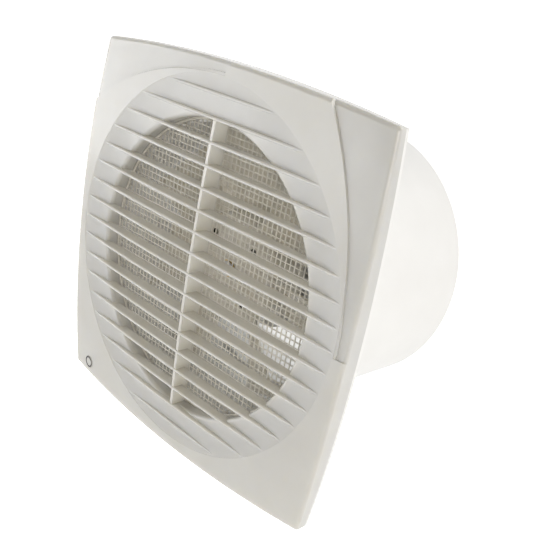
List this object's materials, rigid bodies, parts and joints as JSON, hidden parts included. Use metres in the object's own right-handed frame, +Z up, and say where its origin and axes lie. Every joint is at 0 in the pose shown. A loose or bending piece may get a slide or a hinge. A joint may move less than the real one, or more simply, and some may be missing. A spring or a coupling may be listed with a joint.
{
  "type": "bathroom extractor fan",
  "caption": "White axial extractor fan with a bowed square louvred cover, insect net, impeller and plain duct spigot.",
  "frame": {"origin": "centre of the four wall screw holes, on the duct axis in the wall plane (rear face of the plate)", "axes": "+Y along the duct, into the wall; the louvred front faces -Y; +Z up, +X to the right seen from the room"},
  "size_m": [0.2028, 0.1313, 0.2028],
  "materials": {
    "white_abs": "gloss",
    "housing_white": "gloss",
    "net_plastic": "satin",
    "badge_white": "gloss",
    "impeller_white": "satin",
    "brass_part": "turned",
    "bright_steel": "zinc plated",
    "lamination": "stacked sheet",
    "cast_metal": "cast",
    "copper_wire": "enamelled copper",
    "bobbin_nylon": "satin",
    "terminal_nylon": "satin",
    "grommet_rubber": "matt",
    "live_insulation": "brown PVC",
    "neutral_insulation": "blue PVC",
    "fuse_black": "satin"
  },
  "bodies": {
    "housing": {"rear_plate": "housing_white", "duct_spigot": "housing_white", "motor_cup": "housing_white", "guide_vanes": "housing_white", "carrier_ring": "housing_white", "carrier_screws": "bright_steel", "stator_core": "lamination", "upper_coil_bobbin": "bobbin_nylon", "upper_coil_winding": "copper_wire", "lower_coil_bobbin": "bobbin_nylon", "lower_coil_winding": "copper_wire", "shading_rings": "copper_wire", "front_bracket": "cast_metal", "front_bearing": "brass_part", "rear_bracket": "cast_metal", "rear_bearing": "brass_part", "motor_screws": "bright_steel", "thermal_fuse": "fuse_black", "motor_cap": "housing_white", "motor_cap_screws": "bright_steel", "cable_grommet": "grommet_rubber", "cable_clamp": "terminal_nylon", "terminal_block": "terminal_nylon", "terminal_clamps": "brass_part", "terminal_screws": "bright_steel", "live_lead": "live_insulation", "neutral_lead": "neutral_insulation"},
    "cover": {"front_cover": "white_abs", "insect_net": "net_plastic", "badge": "badge_white"},
    "rotor": {"impeller": "impeller_white", "impeller_bush": "brass_part", "shaft": "bright_steel", "shaft_clip": "bright_steel", "rotor_core": "lamination", "rotor_end_rings": "cast_metal", "thrust_washers": "bobbin_nylon"}
  },
  "joints": [
    {"name": "impeller_spin", "type": "hinge", "parent": "housing", "child": "rotor", "pos_m": [0, 0.02, 0], "axis": [0, 1, 0], "continuous": true},
    {"name": "cover_pull", "type": "slide", "parent": "housing", "child": "cover", "axis": [0, -1, 0], "range_m": [0, 0.05]}
  ]
}
